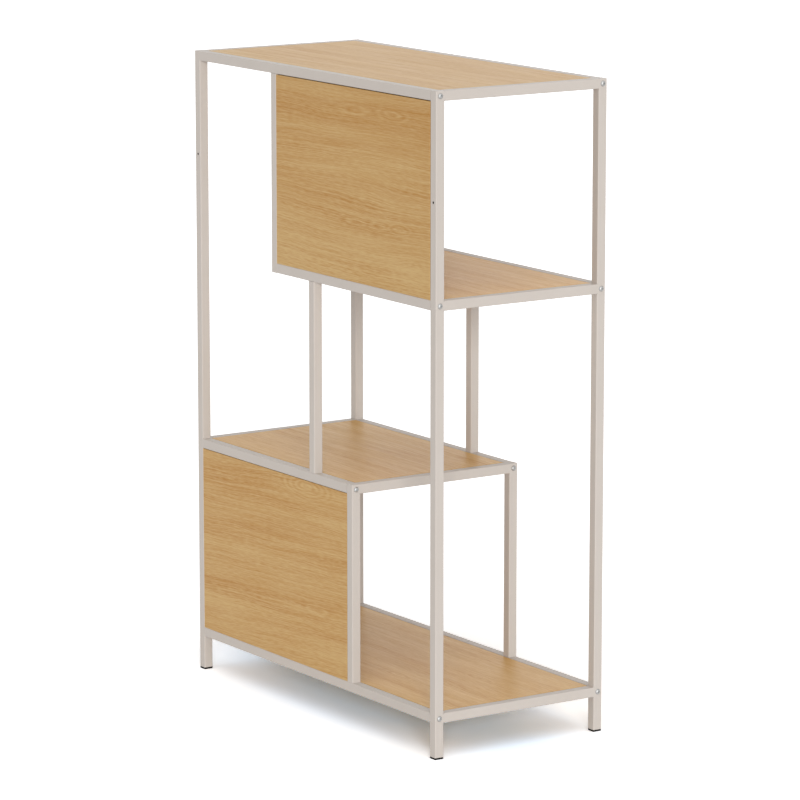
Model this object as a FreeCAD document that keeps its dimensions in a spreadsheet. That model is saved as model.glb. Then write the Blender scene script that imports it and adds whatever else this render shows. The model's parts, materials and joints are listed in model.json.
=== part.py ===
import FreeCAD, Part
import math
import os
import re
import Sketcher

# Staircase bookshelf: a bolted frame of square steel tube, four boards and two back panels.
# Millimetres. +Z is up and +Y is the back, which stands against a wall. The origin is on the floor under
# the middle of the unit. Left is -X and right is +X, as seen from the front.

sizes = {
    # the whole unit, over the outer faces of its tubes
    "unit_width": 812,
    "unit_depth": 368,
    "unit_height": 1200,
    # tops of the rails that hold the boards, above the floor
    "upper_shelf_height": 830,
    "lower_shelf_height": 455,
    "bottom_shelf_height": 84,
    # the two closed-back boxes, over a leg and an inner post
    "upper_box_width": 542,
    "lower_box_width": 542,
    # square steel tube
    "tube_side": 18,
    "tube_wall": 1.2,
    "tube_corner_radius": 1.5,
    # boards lie between the rails with a gap all round
    "board_thickness": 15,
    "board_gap": 1.6,
    "board_edge_chamfer": 0.4,
    # panels stand on their lower rails, against the upright on their right, with play above and on the left
    "panel_thickness": 15,
    "upper_panel_play": 1.4,
    "lower_panel_play": 0.7,
    "panel_edge_chamfer": 0.4,
    # holes in the rear legs for fixing the unit to a wall, below its top
    "wall_hole_diameter": 5,
    "wall_hole_drop": 196,
    # moulded caps pressed into the legs
    "foot_flange_height": 3.5,
    "foot_edge_chamfer": 0.5,
    "foot_plug_height": 12,
    "foot_plug_wall": 2,
    "foot_plug_clearance": 0.1,
    # button-head bolts, through a leg or post into a rail's end
    "bolt_diameter": 6,
    "bolt_reach": 10,
    "bolt_head_diameter": 10.5,
    "bolt_head_height": 3,
    "bolt_socket_flats": 4,
    "bolt_socket_depth": 1.8,
    # countersunk bolts, through a rail into a post's end
    "post_bolt_diameter": 5,
    "post_bolt_reach": 10,
    "post_bolt_head_diameter": 10,
    "post_bolt_socket_flats": 3,
    "post_bolt_socket_depth": 1.6,
    # pan-head screws, through a tab into a board or panel
    "screw_diameter": 4,
    "screw_reach": 9,
    "screw_head_diameter": 8,
    "screw_head_height": 2.4,
    "screw_socket_flats": 2.5,
    "screw_socket_depth": 1.2,
    "pilot_end_gap": 0.5,
    # added to a fastener's diameter for its hole in steel, and for its thread
    "hole_clearance": 0.5,
    "thread_clearance": 0.1,
    # threaded plugs inside the ends of rails and posts
    "plug_length": 12,
    "plug_clearance": 0.1,
    # steel tabs welded to the tubes, which carry the boards and panels
    "tab_length": 20,
    "tab_reach": 14,
    "tab_thickness": 1.5,
    "tab_corner_radius": 3,
    "tab_hole_reach": 8,
    "tab_rise": 1.3,
}
# flat on top of a domed head, as a share of the head's diameter
crown_share = 0.57
# tabs along the long rails under a board, from its left end to its right
board_tab_shares = (0.12, 0.5, 0.88)
# tabs on the upright tubes beside a panel, from its lower edge
upper_panel_tab_share = 0.6
lower_panel_tab_share = 0.4
# tabs on the rails above and below a panel, from its left edge
panel_rail_tab_share = 0.5

document = FreeCAD.newDocument("StaircaseBookshelf")
sheet = document.addObject("Spreadsheet::Sheet", "Sizes")
for line, (name, number) in enumerate(sizes.items(), start=1):
    sheet.set(f"A{line}", name)
    sheet.set(f"B{line}", str(number))
    sheet.setAlias(f"B{line}", name)
document.recompute()

# Places that several pieces share, as formulas in the sheet's sizes
LEVELS = {
    "top": "unit_height",
    "upper_shelf": "upper_shelf_height",
    "lower_shelf": "lower_shelf_height",
    "bottom": "bottom_shelf_height",
}
ROWS = {"front": -1, "rear": 1}
SIDES = {"left": -1, "right": 1}
SIDE_RAILS = {"left": ("top", "upper_shelf", "bottom"), "right": ("top", "lower_shelf", "bottom")}
LEG_INNER_LEFT = "(tube_side - unit_width / 2)"
LEG_INNER_RIGHT = "(unit_width / 2 - tube_side)"
UPPER_POST_X = "(upper_box_width - (unit_width + tube_side) / 2)"
LOWER_POST_X = "((unit_width + tube_side) / 2 - lower_box_width)"
MIDDLE_POST_X = "((upper_box_width - lower_box_width) / 2)"
UPPER_POST_INNER = f"({UPPER_POST_X} - tube_side / 2)"
LOWER_POST_INNER = f"({LOWER_POST_X} + tube_side / 2)"
# clear span of the long rails at each level, from left to right
SPANS = {
    "top": (LEG_INNER_LEFT, LEG_INNER_RIGHT),
    "upper_shelf": (LEG_INNER_LEFT, UPPER_POST_INNER),
    "lower_shelf": (LOWER_POST_INNER, LEG_INNER_RIGHT),
    "bottom": (LEG_INNER_LEFT, LEG_INNER_RIGHT),
}
# the post that is bolted to the long rails at each level, and the side its bolts go in from
POST_BOLTS = {
    "top": (UPPER_POST_X, "above"),
    "upper_shelf": (MIDDLE_POST_X, "above"),
    "lower_shelf": (MIDDLE_POST_X, "below"),
    "bottom": (LOWER_POST_X, "below"),
}
# each panel's rails below and above it, and the height of the tabs at its sides
PANELS = {
    "upper": ("upper_shelf", "top", "upper_shelf", upper_panel_tab_share),
    "lower": ("bottom", "lower_shelf", "lower_shelf", lower_panel_tab_share),
}
X_AXIS = FreeCAD.Vector(1, 0, 0)
Y_AXIS = FreeCAD.Vector(0, 1, 0)
Z_AXIS = FreeCAD.Vector(0, 0, 1)
nodes = []


def row_y(row):
    """Centre line of the front or rear tubes."""
    return f"({ROWS[row]} * (unit_depth - tube_side) / 2)"


def leg_x(side):
    """Centre line of the left or right legs."""
    return f"({SIDES[side]} * (unit_width - tube_side) / 2)"


def rail_z(level):
    """Centre line of the rails at a level."""
    return f"({LEVELS[level]} - tube_side / 2)"


def tab_z(level):
    """Underside of the tabs on the rails at a level."""
    return f"({LEVELS[level]} - tube_side + tab_rise)"


def value(formula):
    """What a formula comes to now, so that a sketch is drawn at its size."""
    return float(sheet.evalExpression(formula))


def bind(target, path, formula):
    """Drive a property by a formula in the sheet's sizes."""
    named = re.sub(r"[a-z_]+", lambda word: "Sizes." + word[0] if word[0] in sizes else word[0], formula)
    target.setExpression(path, named)


def place(item, turn, where):
    """Turn a piece, and put its own origin at a point given by three formulas."""
    item.Placement = FreeCAD.Placement(FreeCAD.Vector(), turn)
    for axis, formula in zip("xyz", where):
        bind(item, f".Placement.Base.{axis}", formula)


def facing(direction):
    """The turn that points a piece's own +Z in a direction."""
    return FreeCAD.Rotation(Z_AXIS, direction)


def new_body(label):
    body = document.addObject("PartDesign::Body", label)
    body.Label = label
    return body


def new_sketch(body, plane, name, offset="0"):
    """An empty sketch on one of the body's own planes, moved along that plane's normal."""
    sketch = body.newObject("Sketcher::SketchObject", name)
    support = next(feature for feature in body.Origin.OriginFeatures if feature.Role == plane)
    sketch.AttachmentSupport = [(support, "")]
    sketch.MapMode = "FlatFace"
    bind(sketch, "AttachmentOffset.Base.z", offset)
    return sketch


def dimension(sketch, formula, kind, *geometry):
    """A dimension that follows a formula."""
    index = sketch.addConstraint(Sketcher.Constraint(kind, *geometry, value(formula)))
    bind(sketch, f"Constraints[{index}]", formula)


def pin_point(sketch, geometry, vertex, across, along):
    """Dimension a point from the sketch's origin, or hold it on an axis where its place is zero."""
    for kind, formula, axis in (("DistanceX", across, -2), ("DistanceY", along, -1)):
        if formula == "0":
            sketch.addConstraint(Sketcher.Constraint("PointOnObject", geometry, vertex, axis))
        else:
            dimension(sketch, formula, kind, -1, 1, geometry, vertex)


def draw_circle(sketch, diameter, across, along):
    centre = FreeCAD.Vector(value(across), value(along), 0)
    circle = sketch.addGeometry(Part.Circle(centre, Z_AXIS, value(diameter) / 2))
    dimension(sketch, diameter, "Diameter", circle)
    pin_point(sketch, circle, 3, across, along)


def dome(start, end):
    """An arc between two points, about a centre on the sketch's upright axis."""
    centre_y = (end.x**2 + end.y**2 - start.x**2 - start.y**2) / (2 * (end.y - start.y))
    centre = FreeCAD.Vector(0, centre_y, 0)
    first = math.atan2(start.y - centre_y, start.x)
    last = math.atan2(end.y - centre_y, end.x)
    return Part.ArcOfCircle(Part.Circle(centre, Z_AXIS, (start - centre).Length), first, last)


def draw_profile(sketch, points, domed=None):
    """A closed outline through dimensioned points; the stretch that leaves the domed point is an arc."""
    count = len(points)
    corners = [FreeCAD.Vector(value(across), value(along), 0) for across, along in points]
    for index, start in enumerate(corners):
        end = corners[(index + 1) % count]
        sketch.addGeometry(dome(start, end) if index == domed else Part.LineSegment(start, end))
    for index, (across, along) in enumerate(points):
        sketch.addConstraint(Sketcher.Constraint("Coincident", index, 2, (index + 1) % count, 1))
        pin_point(sketch, index, 1, across, along)
    if domed is not None:
        sketch.addConstraint(Sketcher.Constraint("PointOnObject", domed, 3, -2))


def draw_rectangle(sketch, width, height):
    """A rectangle about the sketch's origin."""
    right, left = f"{width} / 2", f"-{width} / 2"
    top, bottom = f"{height} / 2", f"-{height} / 2"
    draw_profile(sketch, [(left, bottom), (right, bottom), (right, top), (left, top)])


def draw_rounded_square(sketch, side, radius):
    """A square about the sketch's origin: four sides, each followed by its corner arc."""
    half = value(side) / 2
    straight = half - value(radius)
    for quarter in range(4):
        turn = FreeCAD.Rotation(Z_AXIS, 90 * quarter)
        start = turn.multVec(FreeCAD.Vector(-straight, -half, 0))
        end = turn.multVec(FreeCAD.Vector(straight, -half, 0))
        centre = turn.multVec(FreeCAD.Vector(straight, -straight, 0))
        first = math.pi / 2 * (quarter - 1)
        sketch.addGeometry(Part.LineSegment(start, end))
        corner = Part.Circle(centre, Z_AXIS, value(radius))
        sketch.addGeometry(Part.ArcOfCircle(corner, first, first + math.pi / 2))
    for line in range(0, 8, 2):
        sketch.addConstraint(Sketcher.Constraint("Tangent", line, 2, line + 1, 1))
        sketch.addConstraint(Sketcher.Constraint("Tangent", line + 1, 2, (line + 2) % 8, 1))
        sketch.addConstraint(Sketcher.Constraint("Vertical" if line % 4 else "Horizontal", line))
    for arc in (3, 5, 7):
        sketch.addConstraint(Sketcher.Constraint("Equal", 1, arc))
    sketch.addConstraint(Sketcher.Constraint("Symmetric", 0, 1, 4, 1, -1, 1))
    dimension(sketch, side, "DistanceX", 6, 1, 2, 2)
    dimension(sketch, side, "DistanceY", 0, 1, 4, 2)
    dimension(sketch, radius, "Radius", 1)


def pad(body, sketch, length):
    feature = body.newObject("PartDesign::Pad", f"{sketch.Name}_pad")
    feature.Profile = sketch
    bind(feature, "Length", length)
    document.recompute()
    return feature


def pocket(body, sketch, length=None, upwards=False):
    """Cut a sketch to a depth, below or above its plane, or through everything on both sides of it."""
    before = body.Shape.Volume
    feature = body.newObject("PartDesign::Pocket", f"{sketch.Name}_pocket")
    feature.Profile = sketch
    feature.Reversed = upwards
    if length:
        bind(feature, "Length", length)
    else:
        feature.Type = "ThroughAll"
        feature.SideType = "Symmetric"
    document.recompute()
    if not body.Shape.Volume < before:
        raise RuntimeError(f"{feature.Label} cuts nothing")


def chamfer_rims(body, base, width, both=True):
    """Ease the edges round the lower face of a flat piece, or round both its faces."""
    middle = base.Shape.BoundBox.Center.z
    rims = []
    for number, edge in enumerate(base.Shape.Edges, start=1):
        below = edge.BoundBox.ZMax < middle
        above = edge.BoundBox.ZMin > middle
        if below or (both and above):
            rims.append(f"Edge{number}")
    feature = body.newObject("PartDesign::Chamfer", f"{body.Name}_eased_edges")
    feature.Base = (base, rims)
    bind(feature, "Size", width)
    document.recompute()


def make_tube(label, direction, length, start, closed=False):
    """A length of tube from a start point; a closed one has its far end welded shut."""
    turns = {
        "up": FreeCAD.Rotation(),
        "down": FreeCAD.Rotation(Y_AXIS, 180),
        "right": FreeCAD.Rotation(X_AXIS + Y_AXIS + Z_AXIS, 120),
        "back": FreeCAD.Rotation(X_AXIS + Y_AXIS + Z_AXIS, 240),
    }
    body = new_body(label)
    outline = new_sketch(body, "XY_Plane", f"{label}_outline")
    draw_rounded_square(outline, "tube_side", "tube_corner_radius")
    pad(body, outline, length)
    bore = new_sketch(body, "XY_Plane", f"{label}_bore")
    draw_rectangle(bore, "(tube_side - 2 * tube_wall)", "(tube_side - 2 * tube_wall)")
    pocket(body, bore, f"{length} - tube_wall" if closed else length, upwards=True)
    place(body, turns[direction], start)
    nodes.append(body)
    return body


def drill_across(body, plane, diameter, places):
    """Holes straight through a tube at distances from its start."""
    sketch = new_sketch(body, plane, f"{body.Name}_{plane}_holes")
    for along in places:
        draw_circle(sketch, diameter, "0", along)
    pocket(body, sketch)


def drill_countersunk(rail, along, side):
    """A post bolt's hole through a long rail, countersunk on its upper or lower face."""
    from_above = side == "above"
    before = rail.Shape.Volume
    offset = "-tube_side / 2" if from_above else "tube_side / 2"
    sketch = new_sketch(rail, "XZ_Plane", f"{rail.Name}_post_bolt", offset)
    draw_circle(sketch, "post_bolt_diameter", "0", along)
    document.recompute()
    hole = rail.newObject("PartDesign::Hole", f"{rail.Name}_post_bolt_hole")
    hole.Profile = sketch
    hole.ThreadType = "None"
    hole.DepthType = "ThroughAll"
    hole.HoleCutType = "Countersink"
    hole.HoleCutCountersinkAngle = 90
    hole.Reversed = from_above
    bind(hole, "Diameter", "post_bolt_diameter + hole_clearance")
    bind(hole, "HoleCutDiameter", "post_bolt_head_diameter + hole_clearance")
    document.recompute()
    if not rail.Shape.Volume < before:
        raise RuntimeError(f"{hole.Label} cuts nothing")


def make_sheet_piece(label, width, depth, thickness, edge, pilots, turn, where):
    """A board or panel with eased edges, drilled for its screws from its own lower face."""
    body = new_body(label)
    outline = new_sketch(body, "XY_Plane", f"{label}_outline")
    draw_rectangle(outline, width, depth)
    slab = pad(body, outline, thickness)
    chamfer_rims(body, slab, edge)
    holes = new_sketch(body, "XY_Plane", f"{label}_pilots")
    for across, along in pilots:
        draw_circle(holes, "(screw_diameter + thread_clearance)", across, along)
    pocket(body, holes, "screw_reach + pilot_end_gap", upwards=True)
    place(body, turn, where)
    nodes.append(body)


def make_foot(label, x, y):
    """An end cap: a flange as wide as the leg, and a hollow plug that is pressed into it."""
    body = new_body(label)
    plug_side = "(tube_side - 2 * tube_wall - 2 * foot_plug_clearance)"
    hollow_side = "(tube_side - 2 * tube_wall - 2 * foot_plug_clearance - 2 * foot_plug_wall)"
    outline = new_sketch(body, "XY_Plane", f"{label}_outline")
    draw_rounded_square(outline, "tube_side", "tube_corner_radius")
    flange = pad(body, outline, "foot_flange_height")
    chamfer_rims(body, flange, "foot_edge_chamfer", both=False)
    plug = new_sketch(body, "XY_Plane", f"{label}_plug", "foot_flange_height")
    draw_rectangle(plug, plug_side, plug_side)
    pad(body, plug, "foot_plug_height")
    hollow = new_sketch(body, "XY_Plane", f"{label}_hollow", "foot_flange_height")
    draw_rectangle(hollow, hollow_side, hollow_side)
    pocket(body, hollow, "foot_plug_height", upwards=True)
    place(body, FreeCAD.Rotation(), (x, y, "0"))
    nodes.append(body)


def cut_socket(body, top, flats, depth):
    """A hexagonal socket in the top of a head."""
    side, corner = f"{flats} / 2", f"{flats} * tan(30) / 2"
    point = f"{flats} / cos(30) / 2"
    sketch = new_sketch(body, "XY_Plane", f"{body.Name}_socket", top)
    right = [(side, f"-{corner}"), (side, corner), ("0", point)]
    left = [(f"-{side}", corner), (f"-{side}", f"-{corner}"), ("0", f"-{point}")]
    draw_profile(sketch, right + left)
    pocket(body, sketch, depth)


def revolve(body, sketch):
    feature = body.newObject("PartDesign::Revolution", f"{sketch.Name}_turned")
    feature.Profile = sketch
    feature.ReferenceAxis = (sketch, ["V_Axis"])
    feature.Angle = 360
    document.recompute()


def make_domed_fastener(kind, length):
    """A bolt or screw with a domed head on its own +Z, which seats at zero."""
    body = new_body(kind)
    shank, head = f"{kind}_diameter / 2", f"{kind}_head_diameter / 2"
    crown, height = f"{crown_share} * {kind}_head_diameter / 2", f"{kind}_head_height"
    outline = new_sketch(body, "XZ_Plane", f"{kind}_outline")
    tip = [("0", f"-({length})"), (shank, f"-({length})")]
    rim = [(shank, "0"), (head, "0"), (crown, height), ("0", height)]
    draw_profile(outline, tip + rim, domed=3)
    revolve(body, outline)
    cut_socket(body, height, f"{kind}_socket_flats", f"{kind}_socket_depth")
    return body


def make_countersunk_bolt():
    """A bolt with a right-angled cone for a head, whose flat top lies at zero."""
    body = new_body("post_bolt")
    shank, head = "post_bolt_diameter / 2", "post_bolt_head_diameter / 2"
    length, neck = "-(tube_side + post_bolt_reach)", "(post_bolt_diameter - post_bolt_head_diameter) / 2"
    outline = new_sketch(body, "XZ_Plane", "post_bolt_outline")
    draw_profile(outline, [("0", length), (shank, length), (shank, neck), (head, "0"), ("0", "0")])
    revolve(body, outline)
    cut_socket(body, "0", "post_bolt_socket_flats", "post_bolt_socket_depth")
    return body


def make_plug(label, thread):
    """A square plug that fills the end of a tube, with a threaded hole right through."""
    body = new_body(label)
    side = "(tube_side - 2 * tube_wall - 2 * plug_clearance)"
    outline = new_sketch(body, "XY_Plane", f"{label}_outline")
    draw_rectangle(outline, side, side)
    pad(body, outline, "plug_length")
    bore = new_sketch(body, "XY_Plane", f"{label}_bore")
    draw_circle(bore, f"({thread} + thread_clearance)", "0", "0")
    pocket(body, bore)
    return body


def make_tab():
    """A drilled plate: its root is along its own X axis, and it reaches in along its own +Y."""
    body = new_body("tab")
    half, reach = "tab_length / 2", "tab_reach"
    outline = new_sketch(body, "XY_Plane", "tab_outline")
    draw_profile(outline, [(f"-{half}", "0"), (half, "0"), (half, reach), (f"-{half}", reach)])
    plate = pad(body, outline, "tab_thickness")
    corners = []
    for number, edge in enumerate(plate.Shape.Edges, start=1):
        box = edge.BoundBox
        if box.ZLength > box.DiagonalLength / 2 and box.YMin > value(reach) / 2:
            corners.append(f"Edge{number}")
    rounding = body.newObject("PartDesign::Fillet", "tab_corners")
    rounding.Base = (plate, corners)
    bind(rounding, "Radius", "tab_corner_radius")
    document.recompute()
    hole = new_sketch(body, "XY_Plane", "tab_hole")
    draw_circle(hole, "(screw_diameter + hole_clearance)", "0", "tab_hole_reach")
    pocket(body, hole)
    return body


def make_corner_weld():
    """Weld metal ground flush: it fills one corner of a tube, about the centre of that corner's arc."""
    body = new_body("corner_weld")
    radius = "tube_corner_radius"
    outline = new_sketch(body, "XY_Plane", "corner_weld_outline")
    draw_profile(outline, [("0", radius), (radius, radius), (radius, "0")], domed=2)
    pad(body, outline, "(tube_side - 2 * tube_corner_radius)")
    return body


def corner_weld_places(x, level):
    """Both sides of the two joints between a rail that runs from front to back and its uprights."""
    straight = "(tube_side / 2 - tube_corner_radius)"
    # the turn that brings the weld's corner to the left or right, and to the front or back
    turns = {(1, 1): 0, (-1, 1): 90, (-1, -1): 180, (1, -1): 270}
    underside = f"({rail_z(level)} - {straight})"
    places = []
    for row, outwards in ROWS.items():
        corner_y = f"({row_y(row)} - {outwards} * {straight})"
        for across in SIDES.values():
            turn = FreeCAD.Rotation(Z_AXIS, turns[across, -outwards])
            places.append((turn, (f"({x} + {across} * {straight})", corner_y, underside)))
    return places


def make_group(label, master, places):
    """Copies of one small piece, each at its own turn and point, kept together as one node."""
    copies = []
    for number, (turn, where) in enumerate(places, start=1):
        copy = document.addObject("App::Link", f"{label}_{number}")
        copy.LinkedObject = master
        place(copy, turn, where)
        copies.append(copy)
    group = document.addObject("Part::Compound", label)
    group.Label = label
    group.Links = copies
    nodes.append(group)


# Side frames: legs with their rails welded between them
weld_places = []
bolt_hole = "(bolt_diameter + hole_clearance)"
for side, levels in SIDE_RAILS.items():
    for row in ROWS:
        start = (leg_x(side), row_y(row), "foot_flange_height")
        leg = make_tube(f"{row}_{side}_leg", "up", "(unit_height - foot_flange_height)", start, closed=True)
        heights = [f"{rail_z(level)} - foot_flange_height" for level in levels]
        drill_across(leg, "YZ_Plane", bolt_hole, heights)
        if row == "rear":
            height = "unit_height - wall_hole_drop - foot_flange_height"
            drill_across(leg, "XZ_Plane", "wall_hole_diameter", [height])
        make_foot(f"{row}_{side}_foot_cap", leg_x(side), row_y(row))
    for level in levels:
        start = (leg_x(side), "(tube_side - unit_depth / 2)", rail_z(level))
        make_tube(f"{side}_{level}_side_rail", "back", "(unit_depth - 2 * tube_side)", start)
        weld_places += corner_weld_places(leg_x(side), level)

# Inner side frames of the two boxes: posts with a cross rail, and the middle posts between the shelves
upper_length = "(unit_height - upper_shelf_height)"
lower_length = "(lower_shelf_height - bottom_shelf_height)"
middle_length = "(upper_shelf_height - tube_side - lower_shelf_height)"
for row in ROWS:
    start = (UPPER_POST_X, row_y(row), "(unit_height - tube_side)")
    upper_post = make_tube(f"{row}_upper_post", "down", upper_length, start, closed=True)
    drill_across(upper_post, "YZ_Plane", bolt_hole, [f"{upper_length} - tube_side / 2"])
    start = (LOWER_POST_X, row_y(row), "bottom_shelf_height")
    lower_post = make_tube(f"{row}_lower_post", "up", lower_length, start, closed=True)
    drill_across(lower_post, "YZ_Plane", bolt_hole, [f"{lower_length} - tube_side / 2"])
    start = (MIDDLE_POST_X, row_y(row), "lower_shelf_height")
    make_tube(f"{row}_middle_post", "up", middle_length, start)
for name, x, level in (("upper", UPPER_POST_X, "upper_shelf"), ("lower", LOWER_POST_X, "lower_shelf")):
    start = (x, "(tube_side - unit_depth / 2)", rail_z(level))
    make_tube(f"{name}_cross_rail", "back", "(unit_depth - 2 * tube_side)", start)
    weld_places += corner_weld_places(x, level)
make_group("corner_welds", make_corner_weld(), weld_places)

# Long rails, front and rear at each level
for level, (left, right) in SPANS.items():
    post_x, side = POST_BOLTS[level]
    for row in ROWS:
        start = (left, row_y(row), rail_z(level))
        rail = make_tube(f"{row}_{level}_rail", "right", f"({right} - {left})", start)
        drill_countersunk(rail, f"({post_x} - {left})", side)

# Bolts through the uprights into the rails' ends, and the plugs that they screw into
bolt_places = []
rail_plug_places = []
for level, (left, right) in SPANS.items():
    for row in ROWS:
        for end, inwards in ((left, X_AXIS), (right, -X_AXIS)):
            outer = f"({end} {'-' if end == left else '+'} tube_side)"
            bolt_places.append((facing(-inwards), (outer, row_y(row), rail_z(level))))
            rail_plug_places.append((facing(inwards), (end, row_y(row), rail_z(level))))
make_group("frame_bolts", make_domed_fastener("bolt", "tube_side + bolt_reach"), bolt_places)
make_group("rail_end_plugs", make_plug("rail_plug", "bolt_diameter"), rail_plug_places)

# Bolts through the rails into the posts' ends, and their plugs
post_bolt_places = []
post_plug_places = []
for level, (post_x, side) in POST_BOLTS.items():
    top, underside = LEVELS[level], f"({LEVELS[level]} - tube_side)"
    outer, inner = (top, underside) if side == "above" else (underside, top)
    outwards = Z_AXIS if side == "above" else -Z_AXIS
    for row in ROWS:
        post_bolt_places.append((facing(outwards), (post_x, row_y(row), outer)))
        post_plug_places.append((facing(-outwards), (post_x, row_y(row), inner)))
make_group("post_bolts", make_countersunk_bolt(), post_bolt_places)
make_group("post_end_plugs", make_plug("post_plug", "post_bolt_diameter"), post_plug_places)

# Boards on tabs along the long rails, screwed from below
tab = make_tab()
screw = make_domed_fastener("screw", "tab_thickness + screw_reach")
board_tab_places = []
board_screw_places = []
for level, (left, right) in SPANS.items():
    middle_x = f"(({left} + {right}) / 2)"
    pilots = []
    for share in board_tab_shares:
        for row, sign in ROWS.items():
            across = f"({left} + {share} * ({right} - {left}))"
            root = f"({sign} * (unit_depth / 2 - tube_side))"
            hole = f"({sign} * (unit_depth / 2 - tube_side - tab_hole_reach))"
            turn = FreeCAD.Rotation(Z_AXIS, 180 if row == "rear" else 0)
            board_tab_places.append((turn, (across, root, tab_z(level))))
            board_screw_places.append((facing(-Z_AXIS), (across, hole, tab_z(level))))
            pilots.append((f"({across} - {middle_x})", hole))
    make_sheet_piece(
        f"{level}_board",
        f"({right} - {left} - 2 * board_gap)",
        "(unit_depth - 2 * tube_side - 2 * board_gap)",
        "board_thickness",
        "board_edge_chamfer",
        pilots,
        FreeCAD.Rotation(),
        (middle_x, "0", f"{tab_z(level)} + tab_thickness"),
    )
make_group("board_tabs", tab, board_tab_places)
make_group("board_screws", screw, board_screw_places)

# Back panels on tabs at the middle of their rails and part way up their uprights, screwed from the front
panel_tab_places = []
panel_screw_places = []
tab_front = "(unit_depth / 2 - tube_side + tab_rise)"
for name, (lower_level, upper_level, span_level, side_share) in PANELS.items():
    play = f"{name}_panel_play"
    left, right = SPANS[span_level]
    low, high = LEVELS[lower_level], f"({LEVELS[upper_level]} - tube_side)"
    middle_x = f"(({left} + {play} + {right}) / 2)"
    middle_z = f"(({low} + {high} - {play}) / 2)"
    rail_x = f"({left} + {panel_rail_tab_share} * ({right} - {left}))"
    side_z = f"({low} + {side_share} * ({high} - {low}))"
    roots = (
        (X_AXIS, left, side_z, f"({left} + tab_hole_reach)", side_z),
        (-X_AXIS, right, side_z, f"({right} - tab_hole_reach)", side_z),
        (Z_AXIS, rail_x, low, rail_x, f"({low} + tab_hole_reach)"),
        (-Z_AXIS, rail_x, high, rail_x, f"({high} - tab_hole_reach)"),
    )
    pilots = []
    for inwards, root_x, root_z, hole_x, hole_z in roots:
        turn = FreeCAD.Rotation(FreeCAD.Vector(), inwards, Y_AXIS, "ZYX")
        panel_tab_places.append((turn, (root_x, tab_front, root_z)))
        panel_screw_places.append((facing(-Y_AXIS), (hole_x, tab_front, hole_z)))
        pilots.append((f"({hole_x} - {middle_x})", f"({middle_z} - {hole_z})"))
    make_sheet_piece(
        f"{name}_back_panel",
        f"({right} - {left} - {play})",
        f"({high} - {low} - {play})",
        "panel_thickness",
        "panel_edge_chamfer",
        pilots,
        FreeCAD.Rotation(X_AXIS, -90),
        (middle_x, f"{tab_front} + tab_thickness", middle_z),
    )
make_group("panel_tabs", tab, panel_tab_places)
make_group("panel_screws", screw, panel_screw_places)

# Every feature and piece is sound before any file is written
document.recompute()
for item in document.Objects:
    if {"Invalid", "Error"} & set(item.State):
        raise RuntimeError(f"{item.Label} failed: {item.State}")
for node in nodes:
    if node.Shape.isNull() or not node.Shape.isValid():
        raise RuntimeError(f"{node.Label} has no sound shape")
os.makedirs("parts", exist_ok=True)
for node in nodes:
    node.Shape.exportStep(f"parts/{node.Label}.step")
print(f"{len(nodes)} pieces, {sum(len(node.Shape.Solids) for node in nodes)} solids")
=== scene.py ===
import json
import math

import bpy
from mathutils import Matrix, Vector


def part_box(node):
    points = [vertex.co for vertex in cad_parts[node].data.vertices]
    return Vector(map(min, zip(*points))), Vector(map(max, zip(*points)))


# Staircase bookshelf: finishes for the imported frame, boards and fittings, and the studio around them.
# Metres. +Z is up and +Y is the back of the unit.

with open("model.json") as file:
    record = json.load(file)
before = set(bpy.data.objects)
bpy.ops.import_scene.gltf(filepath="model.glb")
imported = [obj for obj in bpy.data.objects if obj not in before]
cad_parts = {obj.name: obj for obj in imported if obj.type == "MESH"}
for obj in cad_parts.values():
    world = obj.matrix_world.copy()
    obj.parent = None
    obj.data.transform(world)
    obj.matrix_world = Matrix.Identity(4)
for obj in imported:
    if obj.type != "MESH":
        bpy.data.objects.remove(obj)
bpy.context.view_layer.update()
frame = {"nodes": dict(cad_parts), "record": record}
nodes = frame["nodes"]

MM = 0.001

# Camera: its place, the way it looks in degrees, and a long lens in millimetres
CAMERA_PLACE = (-6.5796, 4.3789, 2.0608)
CAMERA_AZIMUTH = 236.287
CAMERA_ELEVATION = 10.666
CAMERA_LENS = 194.38

# How the lines of the wood grain bend, in millimetres: the length and width of a wave, and its reach
GRAIN_WAVES = (
    (440, 95, 26),
    (80, 24, 5),
)
# The figures of the print: length along and width across the grain in millimetres, and fineness. Fibres and
# flecks are about three times as coarse as real ones, so that they show
GRAIN_FIGURES = {
    "ring": (520, 3.0, 1.0),
    "stretch": (420, 36, 1.0),
    "fibre": (130, 1.9, 1.0),
    "fleck": (20, 1.7, 1.0),
    "band": (760, 24, 2.0),
}
# A figure's noise mostly lies between these two values, and is spread from zero to one
FIGURE_LOW = 0.3
FIGURE_HIGH = 0.7
# How far each layer of the print takes its tone from pale to deep, and the tone that they start from
GRAIN_SHARES = {"ring": 0.33, "pore": 0.33, "fibre": 0.285, "fleck": 0.33, "band": 0.30, "heart": 0.16}
GRAIN_START = -0.16
# The rings of a heart fade into the lines around them over this outer share of it
HEART_FADE_SHARE = 0.4
OAK_PALE = "#c19f66"
OAK_DEEP = "#a67326"

# How far the powder reaches into a hole in a leg, in millimetres
COAT_DEPTH = 0.6

# Studio: a wide floor and an even white surround
FLOOR_SIZE = 60
FLOOR_PAINT = "#f0f0f0"
SURROUND_LIGHT = 0.565
# the eye sees the floor overexposed, so that it is white outside the shadows, and cooler under the unit,
# where the wood throws warm light on it; this fades over the outer share of an oval, whose reach is along X
# and Y
OPEN_FLOOR_GAINS = (1.86, 1.86, 1.86)
UNDER_UNIT_GAINS = (1.29, 1.66, 2.10)
UNDER_UNIT_REACH = (0.63, 0.24)
UNDER_UNIT_FADE_SHARE = 0.57

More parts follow.
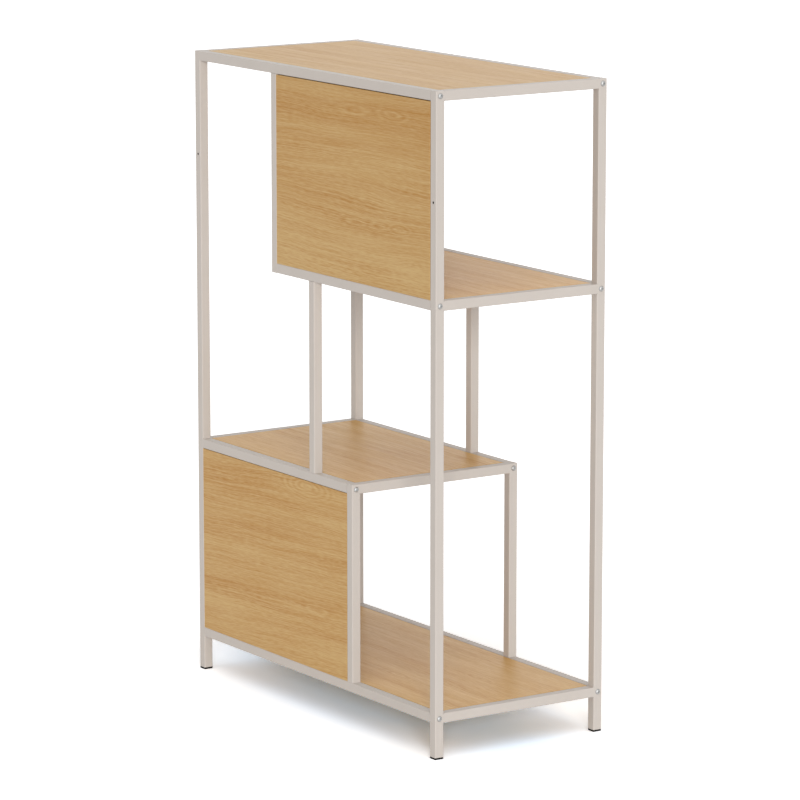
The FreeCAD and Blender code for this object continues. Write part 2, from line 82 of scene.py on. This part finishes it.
# Soft lamps, far away: the way to each, its width in degrees, and its light as a share of full white
LAMPS = {
    "overhead_lamp": ((-0.37, 0.20, 0.91), 60, 0.25),
    "camera_side_lamp": ((-0.84, 0.50, 0.185), 20, 0.70),
    "far_side_lamp": ((0.55, -0.80, 0.25), 50, 0.10),
}


def linear(colour):
    """A colour written as sRGB hex, in the linear values that a shader takes."""
    steps = [int(colour[place:place + 2], 16) / 255 for place in (1, 3, 5)]
    return [step / 12.92 if step <= 0.04045 else ((step + 0.055) / 1.055) ** 2.4 for step in steps] + [1]


def per_metre(size):
    """How often a pattern of a size in millimetres repeats in a metre."""
    return 1 / (size * MM)


def add(tree, kind, inputs, **settings):
    """Add a node with its settings; an input is a plain value or another node's output."""
    node = tree.nodes.new(kind)
    for name, setting in settings.items():
        setattr(node, name, setting)
    for name, given in inputs.items():
        if isinstance(given, bpy.types.NodeSocket):
            tree.links.new(given, node.inputs[name])
        else:
            node.inputs[name].default_value = given
    return node.outputs


def new_material(name):
    """A material with an empty tree of nodes."""
    material = bpy.data.materials.new(name)
    material.use_nodes = True
    material.node_tree.nodes.clear()
    return material, material.node_tree


def inside_legs(tree, place):
    """One inside the hollow of a leg, and zero elsewhere."""
    # the four legs mirror each other, so the box of the one on the positive sides serves for all
    low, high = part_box("rear_right_leg")
    middle = [(start + end) / 2 for start, end in zip(low, high)]
    hollow = [(end - start) / 2 - COAT_DEPTH * MM for start, end in zip(low, high)]
    mirrored = add(tree, "ShaderNodeVectorMath", {0: place}, operation="ABSOLUTE")["Vector"]
    offset = add(tree, "ShaderNodeVectorMath", {0: mirrored, 1: middle}, operation="SUBTRACT")["Vector"]
    offset = add(tree, "ShaderNodeVectorMath", {0: offset}, operation="ABSOLUTE")["Vector"]
    share = add(tree, "ShaderNodeVectorMath", {0: offset, 1: hollow}, operation="DIVIDE")["Vector"]
    axes = add(tree, "ShaderNodeSeparateXYZ", {"Vector": share})
    outermost = add(tree, "ShaderNodeMath", {0: axes["X"], 1: axes["Y"]}, operation="MAXIMUM")[0]
    outermost = add(tree, "ShaderNodeMath", {0: outermost, 1: axes["Z"]}, operation="MAXIMUM")[0]
    return add(tree, "ShaderNodeMath", {0: outermost, 1: 1.0}, operation="LESS_THAN")[0]


def powder_coated_steel():
    """Polyester powder baked on steel tube: satin, sand-coloured, with a faint orange peel."""
    material, tree = new_material("powder_coated_steel")
    place = add(tree, "ShaderNodeTexCoord", {})["Object"]
    # the molten powder pulls into swells about 2 mm across
    peel = add(tree, "ShaderNodeTexNoise", {"Vector": place, "Scale": per_metre(2), "Detail": 2.0})["Fac"]
    # the film is a little thicker in some places, about 60 mm across, than in others
    film = add(tree, "ShaderNodeTexNoise", {"Vector": place, "Scale": per_metre(60), "Detail": 3.0})["Fac"]
    thick, thin = linear("#bfb7b0"), linear("#bab2aa")
    coat = add(tree, "ShaderNodeMix", {0: film, 6: thick, 7: thin}, data_type="RGBA")[2]
    # no powder reaches the inside of the legs, so it is bare steel, painted dark as the shade in the hollow,
    # so that their wall holes show dark
    shaded_bare_steel = linear("#2e2a27")
    colour = add(tree, "ShaderNodeMix", {
        0: inside_legs(tree, place), 6: coat, 7: shaded_bare_steel,
    }, data_type="RGBA")[2]
    gloss = add(tree, "ShaderNodeMapRange", {"Value": peel, "To Min": 0.40, "To Max": 0.52})["Result"]
    bump = add(tree, "ShaderNodeBump", {"Height": peel, "Distance": 0.03 * MM, "Strength": 0.6})["Normal"]
    shader = add(tree, "ShaderNodeBsdfPrincipled", {
        "Base Color": colour,
        "Roughness": gloss,
        "IOR": 1.5,
        "Specular IOR Level": 0.25,
        "Normal": bump,
    })["BSDF"]
    add(tree, "ShaderNodeOutputMaterial", {"Surface": shader})
    return material


def drawn_out(tree, vector, length, width, fineness):
    """An uneven figure drawn out along the grain, with a length and width in millimetres."""
    scale = (per_metre(length), per_metre(width), per_metre(width))
    stretched = add(tree, "ShaderNodeMapping", {"Vector": vector, "Scale": scale})["Vector"]
    return add(tree, "ShaderNodeTexNoise", {"Vector": stretched, "Scale": 1.0, "Detail": fineness})["Fac"]


def oak_growth(tree, board, slant, hearts):
    """The grain of a board, bent in waves, parted round its hearts and slanted, and the hearts' rings."""
    axes = add(tree, "ShaderNodeSeparateXYZ", {"Vector": board})
    growth = axes["Y"]
    for length, width, reach in GRAIN_WAVES:
        bend = add(tree, "ShaderNodeMapRange", {
            "Value": drawn_out(tree, board, length, width, 0.0),
            "To Min": -reach / 2 * MM,
            "To Max": reach / 2 * MM,
        })["Result"]
        growth = add(tree, "ShaderNodeMath", {0: growth, 1: bend}, operation="ADD")[0]
    bent = add(tree, "ShaderNodeCombineXYZ", {"X": axes["X"], "Y": growth})["Vector"]
    heart_rings = 0.0
    for centre, length, width, rings in hearts:
        around = add(tree, "ShaderNodeMapping", {
            "Vector": bent,
            "Location": (-centre[0] / length, -centre[1] / width, 0),
            "Scale": (per_metre(length), per_metre(width), 0),
        })["Vector"]
        near = add(tree, "ShaderNodeTexGradient", {"Vector": around}, gradient_type="SPHERICAL")["Fac"]
        across = add(tree, "ShaderNodeSeparateXYZ", {"Vector": around})["Y"]
        parting = add(tree, "ShaderNodeMath", {0: near, 1: near}, operation="MULTIPLY")[0]
        parting = add(tree, "ShaderNodeMath", {0: parting, 1: across}, operation="MULTIPLY")[0]
        growth = add(tree, "ShaderNodeMath", {
            0: parting, 1: -width * MM, 2: growth,
        }, operation="MULTIPLY_ADD")[0]
        turns = add(tree, "ShaderNodeMath", {0: near, 1: math.tau * rings}, operation="MULTIPLY")[0]
        ring = add(tree, "ShaderNodeMath", {0: turns}, operation="SINE")[0]
        fade = add(tree, "ShaderNodeMapRange", {"Value": near, "From Max": HEART_FADE_SHARE})["Result"]
        heart_rings = add(tree, "ShaderNodeMath", {
            0: ring, 1: fade, 2: heart_rings,
        }, operation="MULTIPLY_ADD")[0]
    growth = add(tree, "ShaderNodeMath", {
        0: axes["X"], 1: slant, 2: growth,
    }, operation="MULTIPLY_ADD")[0]
    grain = add(tree, "ShaderNodeCombineXYZ", {"X": axes["X"], "Y": growth, "Z": axes["Z"]})["Vector"]
    return grain, heart_rings


def oak_melamine(node, upright, brightness_and_painted_light, slant=0.0, drift=0.0, hearts=()):
    """Chipboard faced with melamine paper: printed light oak, pressed with shallow pores along its grain."""
    material, tree = new_material(f"oak_melamine_{node}")
    place = add(tree, "ShaderNodeTexCoord", {})["Object"]
    # the grain runs along X and is crossed along Y, so an upright panel's pattern is turned
    turn = (math.radians(-90), 0, 0) if upright else (0, 0, 0)
    board = add(tree, "ShaderNodeMapping", {"Vector": place, "Rotation": turn})["Vector"]
    grain, heart_rings = oak_growth(tree, board, slant, hearts)
    layers = {"heart": heart_rings}
    for name, size in GRAIN_FIGURES.items():
        layers[name] = add(tree, "ShaderNodeMapRange", {
            "Value": drawn_out(tree, grain, *size), "From Min": FIGURE_LOW, "From Max": FIGURE_HIGH,
        })["Result"]
    # growth rings show more in some stretches than in others, and pores show more in the rings
    layers["ring"] = add(tree, "ShaderNodeMath", {
        0: layers["ring"], 1: layers["stretch"],
    }, operation="MULTIPLY")[0]
    layers["pore"] = add(tree, "ShaderNodeMath", {
        0: layers["fleck"], 1: layers["ring"],
    }, operation="MULTIPLY")[0]
    # the print deepens slowly from one edge of the board to the other
    low, high = [corner[2 if upright else 1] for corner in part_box(node)]
    tone = add(tree, "ShaderNodeMapRange", {
        "Value": add(tree, "ShaderNodeSeparateXYZ", {"Vector": board})["Y"],
        "From Min": low,
        "From Max": high,
        "To Min": GRAIN_START - drift / 2,
        "To Max": GRAIN_START + drift / 2,
    })["Result"]
    for name, share in GRAIN_SHARES.items():
        tone = add(tree, "ShaderNodeMath", {0: layers[name], 1: share, 2: tone}, operation="MULTIPLY_ADD")[0]
    # the brightness scales the print, and on the shelf boards carries painted light against their shade
    pale, deep = [
        [channel * brightness_and_painted_light for channel in linear(printed)[:3]] + [1] for printed in (OAK_PALE, OAK_DEEP)
    ]
    colour = add(tree, "ShaderNodeMix", {0: tone, 6: pale, 7: deep}, data_type="RGBA")[2]
    fibre = layers["fibre"]
    gloss = add(tree, "ShaderNodeMapRange", {"Value": fibre, "To Min": 0.42, "To Max": 0.52})["Result"]
    bump = add(tree, "ShaderNodeBump", {"Height": fibre, "Distance": 0.06 * MM, "Strength": 0.5})["Normal"]
    shader = add(tree, "ShaderNodeBsdfPrincipled", {
        "Base Color": colour,
        "Roughness": gloss,
        "IOR": 1.5,
        "Specular IOR Level": 0.42,
        "Normal": bump,
    })["BSDF"]
    add(tree, "ShaderNodeOutputMaterial", {"Surface": shader})
    return material


def moulded_plastic():
    """Black polyethylene from a spark-eroded mould: matt, with a fine even grain."""
    material, tree = new_material("moulded_polyethylene")
    place = add(tree, "ShaderNodeTexCoord", {})["Object"]
    # the mould's grit is finer than 0.8 mm, and is drawn that coarse so that it shows
    grit = add(tree, "ShaderNodeTexNoise", {"Vector": place, "Scale": per_metre(0.8), "Detail": 2.0})["Fac"]
    gloss = add(tree, "ShaderNodeMapRange", {"Value": grit, "To Min": 0.45, "To Max": 0.65})["Result"]
    colour = add(tree, "ShaderNodeMix", {
        0: grit, 6: linear("#0f0d0c"), 7: linear("#151311"),
    }, data_type="RGBA")[2]
    bump = add(tree, "ShaderNodeBump", {"Height": grit, "Distance": 0.05 * MM, "Strength": 0.6})["Normal"]
    shader = add(tree, "ShaderNodeBsdfPrincipled", {
        "Base Color": colour,
        "Roughness": gloss,
        "IOR": 1.5,
        "Specular IOR Level": 0.05,
        "Normal": bump,
    })["BSDF"]
    add(tree, "ShaderNodeOutputMaterial", {"Surface": shader})
    return material


def bare_metal(name, bright, dull, smooth, rough, speck):
    """Steel with a metal surface, clouded by specks of a size in millimetres."""
    material, tree = new_material(name)
    place = add(tree, "ShaderNodeTexCoord", {})["Object"]
    cloud = add(tree, "ShaderNodeTexNoise", {
        "Vector": place, "Scale": per_metre(speck), "Detail": 3.0,
    })["Fac"]
    colour = add(tree, "ShaderNodeMix", {0: cloud, 6: linear(bright), 7: linear(dull)}, data_type="RGBA")[2]
    gloss = add(tree, "ShaderNodeMapRange", {"Value": cloud, "To Min": smooth, "To Max": rough})["Result"]
    shader = add(tree, "ShaderNodeBsdfPrincipled", {
        "Base Color": colour,
        "Metallic": 1.0,
        "Roughness": gloss,
    })["BSDF"]
    add(tree, "ShaderNodeOutputMaterial", {"Surface": shader})
    return material


# The print on each board: whether it stands upright, its brightness, the slant of its lines, how much it
# deepens from edge to edge, and its hearts, each with the centre along and across the grain, half the length
# and half the width in millimetres, and its rings. The brightness is partly painted light: the boards that
# lie under other boards are made brighter to cancel the shade that falls on them and to paint in the sheen
# that they show at a low angle
PRINTS = {
    "upper_back_panel": {
        "upright": True,
        "brightness_and_painted_light": 0.96,
        "drift": 0.45,
        "hearts": [
            ((-268, 1143), 70, 17, 2.5),
            ((-140, 1142), 90, 15, 1.5),
            ((-292, 946), 52, 16, 2.5),
            ((-222, 944), 50, 14, 1.5),
            ((-150, 944), 60, 12, 1.5),
        ],
    },
    "lower_back_panel": {
        "upright": True,
        "brightness_and_painted_light": 0.985,
        "slant": 0.05,
        "hearts": [((20, 425), 110, 30, 5.5), ((-15, 197), 60, 15, 1.5)],
    },
    "top_board": {"upright": False, "brightness_and_painted_light": 1.06},
    # painted light: the boards below the top are brightened against the shade of those above and for sheen
    "upper_shelf_board": {"upright": False, "brightness_and_painted_light": 1.36},
    "lower_shelf_board": {"upright": False, "brightness_and_painted_light": 1.23},
    "bottom_board": {
        "upright": False,
        "brightness_and_painted_light": 1.24,
        "hearts": [((-130, 76), 60, 14, 2.5), ((-232, -35), 60, 14, 2.5)],
    },
}
finishes = {
    "powder_coat": powder_coated_steel(),
    "foot_plastic": moulded_plastic(),
    # zinc plating: barrel-plated steel, bright and slightly cloudy
    "zinc_fastener": bare_metal(
        "zinc_plated_steel", "#b4b4b3", "#9c9c9b", smooth=0.42, rough=0.55, speck=1.5,
    ),
    # mild steel as it comes from the saw: grey and dull
    "plain_steel": bare_metal(
        "mill_steel", "#9b9b9c", "#7f7f81", smooth=0.40, rough=0.58, speck=2,
    ),
}
for subpart in frame["record"]["subparts"]:
    name, slot = subpart["node"], subpart["material_slot"]
    if name in PRINTS:
        finish = oak_melamine(name, **PRINTS[name])
    else:
        finish = finishes[slot]
    nodes[name].data.materials.clear()
    nodes[name].data.materials.append(finish)


def seen_by_eye(tree):
    """One for rays that the eye follows, straight or by reflection, and zero for light."""
    path = add(tree, "ShaderNodeLightPath", {})
    mirrored = add(tree, "ShaderNodeMath", {
        0: path["Is Glossy Ray"], 1: path["Is Transmission Ray"],
    }, operation="MAXIMUM")[0]
    return add(tree, "ShaderNodeMath", {0: path["Is Camera Ray"], 1: mirrored}, operation="MAXIMUM")[0]


def studio_floor():
    """A matt white floor that keeps the unit's shadow."""
    bpy.ops.object.select_all(action="DESELECT")
    bpy.ops.mesh.primitive_plane_add(size=FLOOR_SIZE)
    floor = bpy.context.object
    floor.name = "studio_floor"
    material, tree = new_material("matt_white_floor")
    paint = linear(FLOOR_PAINT)
    lit, under = [
        [channel * gain for channel, gain in zip(paint, gains)] + [1]
        for gains in (OPEN_FLOOR_GAINS, UNDER_UNIT_GAINS)
    ]
    place = add(tree, "ShaderNodeTexCoord", {})["Object"]
    scale = [1 / reach for reach in UNDER_UNIT_REACH] + [0]
    oval = add(tree, "ShaderNodeMapping", {"Vector": place, "Scale": scale})["Vector"]
    near = add(tree, "ShaderNodeTexGradient", {"Vector": oval}, gradient_type="SPHERICAL")["Fac"]
    cooler = add(tree, "ShaderNodeMapRange", {"Value": near, "From Max": UNDER_UNIT_FADE_SHARE})["Result"]
    overexposed = add(tree, "ShaderNodeMix", {0: cooler, 6: lit, 7: under}, data_type="RGBA")[2]
    colour = add(tree, "ShaderNodeMix", {
        0: seen_by_eye(tree), 6: paint, 7: overexposed,
    }, data_type="RGBA")[2]
    matt = add(tree, "ShaderNodeBsdfDiffuse", {"Color": colour})["BSDF"]
    add(tree, "ShaderNodeOutputMaterial", {"Surface": matt})
    floor.data.materials.append(material)


def studio_surround():
    """An even surround that the eye sees as white."""
    world = bpy.data.worlds.new("white_surround")
    world.use_nodes = True
    tree = world.node_tree
    tree.nodes.clear()
    light = add(tree, "ShaderNodeBackground", {"Strength": SURROUND_LIGHT})["Background"]
    white = add(tree, "ShaderNodeBackground", {"Color": (1, 1, 1, 1), "Strength": 1.0})["Background"]
    mixed = add(tree, "ShaderNodeMixShader", {0: seen_by_eye(tree), 1: light, 2: white})["Shader"]
    add(tree, "ShaderNodeOutputWorld", {"Surface": mixed})
    bpy.context.scene.world = world


def soft_lamps():
    """Wide lamps so far away that they light the whole floor alike."""
    for name, (direction, width, light) in LAMPS.items():
        lamp = bpy.data.lights.new(name, "SUN")
        lamp.angle = math.radians(width)
        lamp.energy = math.pi * light
        holder = bpy.data.objects.new(name, lamp)
        holder.rotation_euler = (-Vector(direction)).to_track_quat("-Z", "Y").to_euler()
        bpy.context.scene.collection.objects.link(holder)


def camera():
    """A camera behind the unit and to its left, as in the photograph."""
    lens = bpy.data.cameras.new("camera")
    lens.lens = CAMERA_LENS
    holder = bpy.data.objects.new("camera", lens)
    around, above = math.radians(CAMERA_AZIMUTH), math.radians(CAMERA_ELEVATION)
    back = Vector((
        math.sin(around) * math.cos(above),
        -math.cos(around) * math.cos(above),
        math.sin(above),
    ))
    holder.location = CAMERA_PLACE
    holder.rotation_euler = (-back).to_track_quat("-Z", "Y").to_euler()
    bpy.context.scene.collection.objects.link(holder)
    bpy.context.scene.camera = holder


studio_floor()
studio_surround()
soft_lamps()
camera()
bpy.context.scene.view_settings.view_transform = "Standard"
